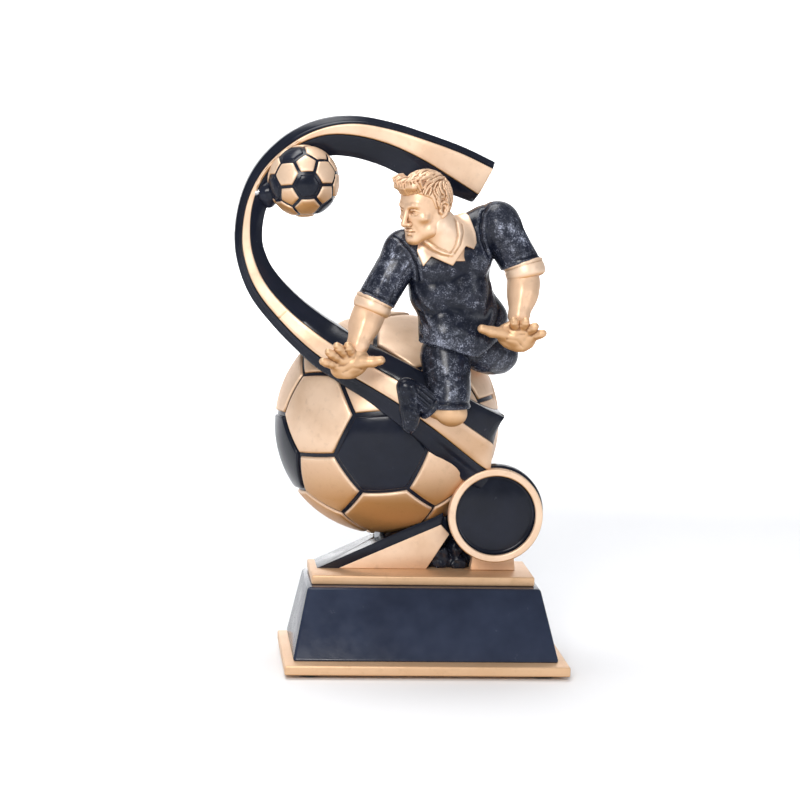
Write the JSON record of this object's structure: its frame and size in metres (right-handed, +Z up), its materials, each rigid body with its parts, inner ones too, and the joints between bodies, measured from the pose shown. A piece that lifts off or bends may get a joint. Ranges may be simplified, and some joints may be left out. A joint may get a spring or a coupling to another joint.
{
  "type": "figure trophy",
  "caption": "Footballer figure trophy: diving player on a ball with a sweeping ribbon, a recessed centre medallion and a stepped plinth.",
  "frame": {"origin": "bottom centre of the bounding box, on the resting plane under the foot pads", "axes": "+X to the right seen from the front, -Y is the front, +Z up"},
  "size_m": [0.1072, 0.05, 0.1738],
  "materials": {
    "antique_gold": "satin metallic gold paint on cast resin, brown antique wash in the recesses",
    "figure_gold": "satin metallic gold paint on cast resin, darker bronze wash",
    "trim_gold": "satin metallic gold paint on cast resin",
    "gloss_black": "gloss black lacquer on cast resin",
    "kit_black": "satin black lacquer with silver dry-brushing on the folds",
    "steel": "zinc-plated steel",
    "pad_rubber": "matt soft rubber"
  },
  "bodies": {
    "root": {"foot_pads": "pad_rubber", "plinth_bottom_plate": "antique_gold", "plinth_block": "gloss_black", "plinth_cap": "antique_gold", "plinth_bolts": "steel", "plinth_washers": "steel", "flourish_block": "gloss_black", "flourish_gold_face": "antique_gold", "rock_infill": "gloss_black", "medallion_ring": "antique_gold", "medallion_backing": "gloss_black", "medallion_post": "antique_gold", "ball_core": "gloss_black", "ball_gold_panels": "antique_gold", "ball_black_panels": "gloss_black", "ball_dowels": "steel", "ribbon_arc": "gloss_black", "ribbon_arc_inlay": "antique_gold", "ribbon_sash": "gloss_black", "ribbon_sash_inlay": "antique_gold", "ribbon_dowels": "steel", "small_ball_core": "gloss_black", "small_ball_gold_panels": "antique_gold", "small_ball_black_panels": "gloss_black", "small_ball_bracket": "gloss_black", "small_ball_dowel": "steel", "shirt_torso": "kit_black", "shirt_collar": "trim_gold", "left_sleeve": "kit_black", "right_sleeve": "kit_black", "left_cuff": "trim_gold", "right_cuff": "trim_gold", "shorts": "kit_black", "front_shorts_leg": "kit_black", "rear_shorts_leg": "kit_black", "head": "figure_gold", "hair": "figure_gold", "left_forearm": "figure_gold", "right_forearm": "figure_gold", "left_hand": "figure_gold", "right_hand": "figure_gold", "front_knee": "figure_gold", "rear_leg": "figure_gold", "front_sock": "kit_black", "front_boot": "kit_black", "neck_dowel": "steel", "shoulder_dowels": "steel", "wrist_dowels": "steel", "hip_dowels": "steel", "knee_dowel": "steel"}
  },
  "joints": []
}
